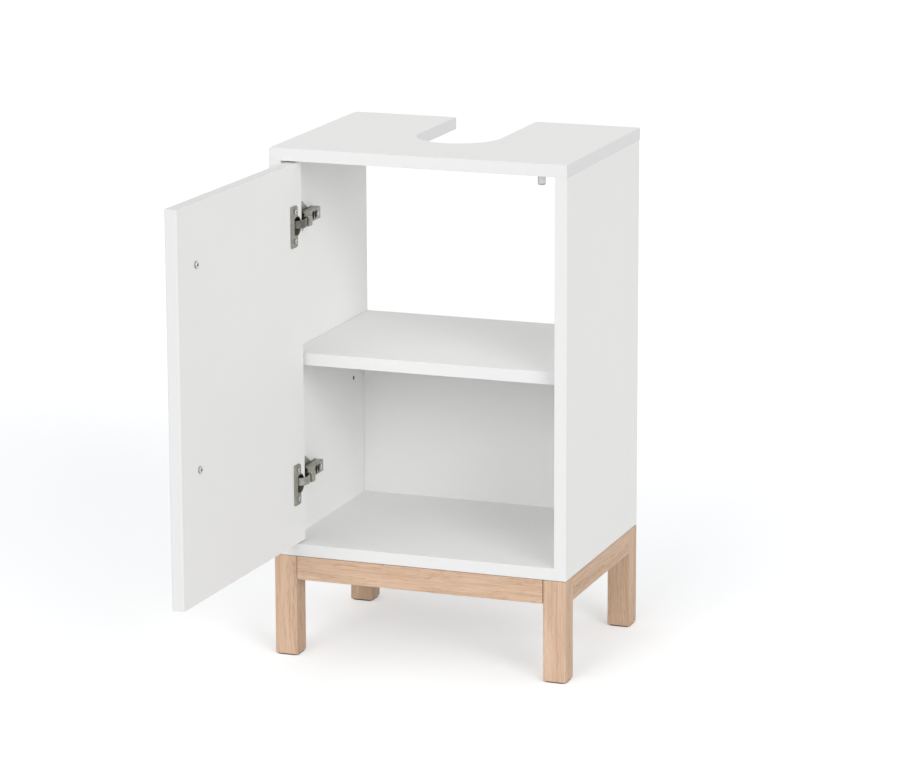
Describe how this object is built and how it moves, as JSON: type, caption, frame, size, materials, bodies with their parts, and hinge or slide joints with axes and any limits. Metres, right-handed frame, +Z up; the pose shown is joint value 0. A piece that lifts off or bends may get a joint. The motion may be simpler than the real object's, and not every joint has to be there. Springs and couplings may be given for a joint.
{
  "type": "sink base cabinet",
  "caption": "Narrow sink base cabinet: white board box on an oak frame, pipe cut-out in the top, shelf, and an inset door on concealed hinges.",
  "frame": {"origin": "on the floor, under the middle of the bounding box with the door open", "axes": "+Z up, +Y towards the back, -Y towards the front, +X to the right as seen from the front"},
  "size_m": [0.4079, 0.6411, 0.672],
  "materials": {
    "white_board": "white melamine-faced board, satin",
    "oak": "light oak, clear matt lacquer",
    "dowel_wood": "plain beech",
    "nickel_steel": "nickel-plated pressed steel",
    "pin_steel": "bright steel pin",
    "zinc": "zinc-plated steel",
    "stop_plastic": "milky clear plastic",
    "glide_felt": "grey-brown felt"
  },
  "bodies": {
    "carcass": {"top_panel": "white_board", "side_panel_left": "white_board", "side_panel_right": "white_board", "bottom_panel": "white_board", "shelf": "white_board", "lower_back_panel": "white_board", "top_dowel_left_front": "dowel_wood", "bottom_dowel_left_front": "dowel_wood", "top_dowel_left_rear": "dowel_wood", "bottom_dowel_left_rear": "dowel_wood", "top_dowel_right_front": "dowel_wood", "bottom_dowel_right_front": "dowel_wood", "top_dowel_right_rear": "dowel_wood", "bottom_dowel_right_rear": "dowel_wood", "shelf_pin_left_front": "zinc", "shelf_pin_left_rear": "zinc", "shelf_pin_right_front": "zinc", "shelf_pin_right_rear": "zinc", "door_stop": "stop_plastic", "leg_front_left": "oak", "leg_front_right": "oak", "leg_rear_left": "oak", "leg_rear_right": "oak", "glide_front_left": "glide_felt", "glide_front_right": "glide_felt", "glide_rear_left": "glide_felt", "glide_rear_right": "glide_felt", "apron_front": "oak", "apron_rear": "oak", "apron_left": "oak", "apron_right": "oak", "base_screw_left": "zinc", "base_screw_right": "zinc", "upper_hinge_plate": "nickel_steel", "lower_hinge_plate": "nickel_steel", "upper_hinge_plate_screw_1": "zinc", "upper_hinge_plate_screw_2": "zinc", "lower_hinge_plate_screw_1": "zinc", "lower_hinge_plate_screw_2": "zinc", "upper_hinge_arm": "nickel_steel", "lower_hinge_arm": "nickel_steel", "upper_hinge_arm_pin": "pin_steel", "lower_hinge_arm_pin": "pin_steel", "upper_hinge_fixing_screw": "zinc", "lower_hinge_fixing_screw": "zinc"},
    "hinge_links": {"upper_hinge_link": "nickel_steel", "lower_hinge_link": "nickel_steel"},
    "door": {"door_panel": "white_board", "grip_strip": "oak", "grip_screw_upper": "zinc", "grip_screw_lower": "zinc", "upper_hinge_cup": "nickel_steel", "lower_hinge_cup": "nickel_steel", "upper_hinge_cup_pin": "pin_steel", "lower_hinge_cup_pin": "pin_steel", "upper_hinge_cup_screw_1": "zinc", "upper_hinge_cup_screw_2": "zinc", "lower_hinge_cup_screw_1": "zinc", "lower_hinge_cup_screw_2": "zinc"}
  },
  "joints": [
    {"name": "hinge_link_turn", "type": "hinge", "parent": "carcass", "child": "hinge_links", "pos_m": [-0.15922, 0.05864, 0.4], "axis": [0, 0, 1], "range_deg": [0, 7]},
    {"name": "door_turn", "type": "hinge", "parent": "hinge_links", "child": "door", "pos_m": [-0.16868, 0.02901, 0.4], "axis": [0, 0, 1], "range_deg": [0, 85]}
  ],
  "couplings": [
    {"joint": "hinge_link_turn", "follows": "door_turn", "ratio": 0.082353}
  ]
}
